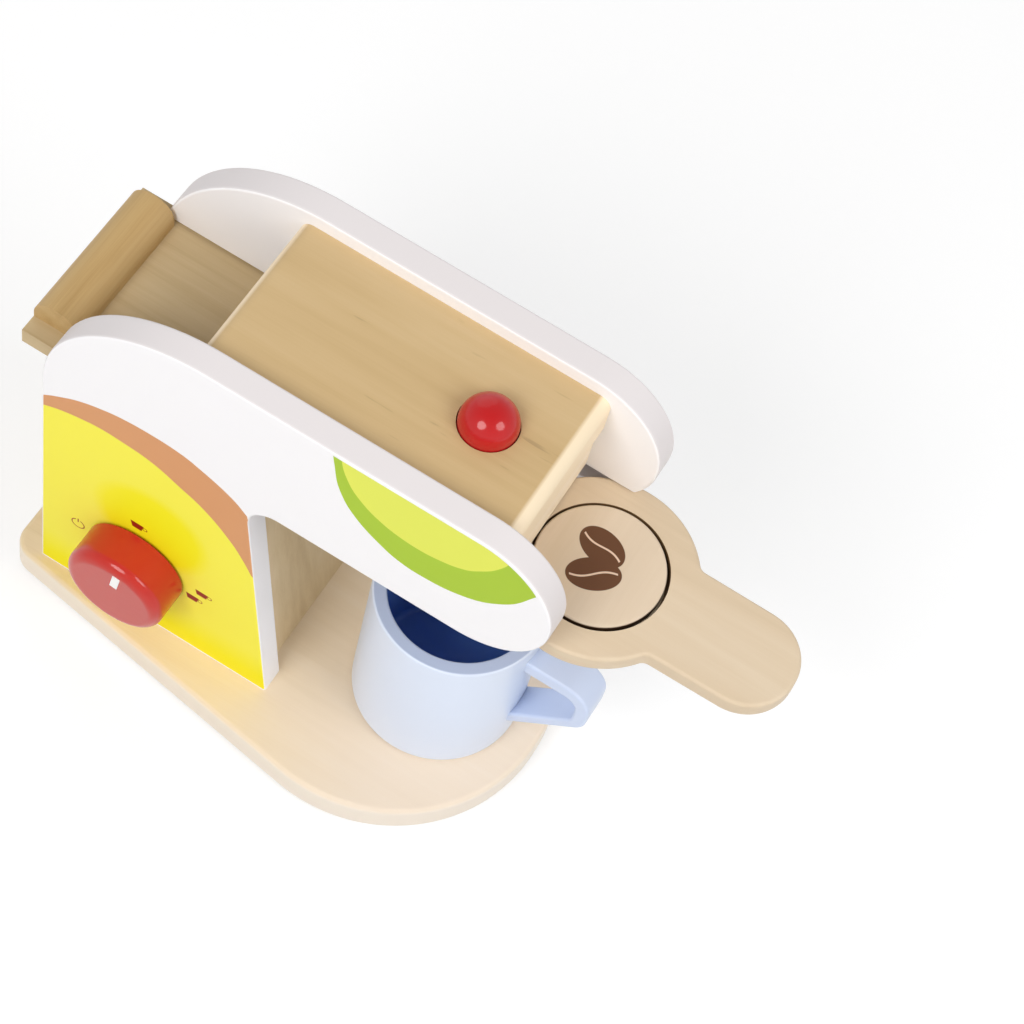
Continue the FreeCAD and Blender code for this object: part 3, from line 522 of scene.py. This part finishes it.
def backdrop():
    """A pale floor that the camera sees as white and that takes the object's shadow."""
    corners = [(-1, -1), (1, -1), (1, 1), (-1, 1)]
    mesh = bpy.data.meshes.new("floor")
    mesh.from_pydata([(x * FLOOR_HALF, y * FLOOR_HALF, FLOOR_LEVEL) for x, y in corners], [], [(0, 1, 2, 3)])
    floor = bpy.data.objects.new("floor", mesh)
    bpy.context.scene.collection.objects.link(floor)
    material = bpy.data.materials.new("floor")
    material.use_nodes = True
    tree = material.node_tree
    shader = next(n for n in tree.nodes if n.type == "BSDF_PRINCIPLED")
    shader.inputs["Base Color"].default_value = (FLOOR_GREY, FLOOR_GREY, FLOOR_GREY, 1)
    shader.inputs["Roughness"].default_value = 0.9
    shader.inputs["Specular IOR Level"].default_value = 0.1
    shader.inputs["Emission Color"].default_value = (1, 1, 1, 1)
    rays = tree.nodes.new("ShaderNodeLightPath")
    seen = Expr(tree, rays.outputs["Is Camera Ray"])
    for kind in ("Is Glossy Ray", "Is Transmission Ray"):
        seen = seen.high(Expr(tree, rays.outputs[kind]))
    feed(tree, shader.inputs["Emission Strength"], seen * FLOOR_GLOW)
    mesh.materials.append(material)


def sky():
    """A plain sky, paler near the horizon than overhead."""
    world = bpy.data.worlds.new("sky")
    world.use_nodes = True
    tree = world.node_tree
    split = tree.nodes.new("ShaderNodeSeparateXYZ")
    band = tree.nodes.new("ShaderNodeValToRGB")
    for element, grey in zip(band.color_ramp.elements, (SKY_HORIZON, SKY_ZENITH)):
        element.color = (grey, grey, grey, 1)
    feed(tree, split.inputs[0], tree.nodes.new("ShaderNodeTexCoord").outputs["Generated"])
    feed(tree, band.inputs[0], split.outputs["Z"])
    feed(tree, tree.nodes["Background"].inputs["Color"], band.outputs[0])
    bpy.context.scene.world = world


def soft_lamp(name, direction, size, watts):
    """A round area lamp that looks at the lamps' target."""
    data = bpy.data.lights.new(name, "AREA")
    data.shape = "DISK"
    data.size = size
    data.energy = watts
    lamp = bpy.data.objects.new(name, data)
    lamp.location = LAMP_TARGET + LAMP_DISTANCE * Vector(direction)
    lamp.rotation_mode = "QUATERNION"
    lamp.rotation_quaternion = (LAMP_TARGET - lamp.location).to_track_quat("-Z", "Y")
    bpy.context.scene.collection.objects.link(lamp)


def photo_camera():
    """The photograph's camera, which looks down on the knob's side."""
    data = bpy.data.cameras.new("camera")
    data.sensor_width = CAMERA_SENSOR
    data.lens = CAMERA_LENS
    data.clip_start = CAMERA_NEAR
    data.clip_end = CAMERA_FAR
    camera = bpy.data.objects.new("camera", data)
    right = Vector(CAMERA_RIGHT).normalized()
    back = Vector(CAMERA_BACK).normalized()
    up = back.cross(right).normalized()
    matrix = Matrix((right, up, back)).transposed().to_4x4()
    matrix.translation = Vector(CAMERA_PLACE)
    camera.matrix_world = matrix
    bpy.context.scene.collection.objects.link(camera)
    bpy.context.scene.camera = camera


backdrop()
sky()
for lamp in LAMPS:
    soft_lamp(*lamp)
photo_camera()
bpy.context.scene.view_settings.view_transform = "Standard"

bpy.context.view_layer.update()
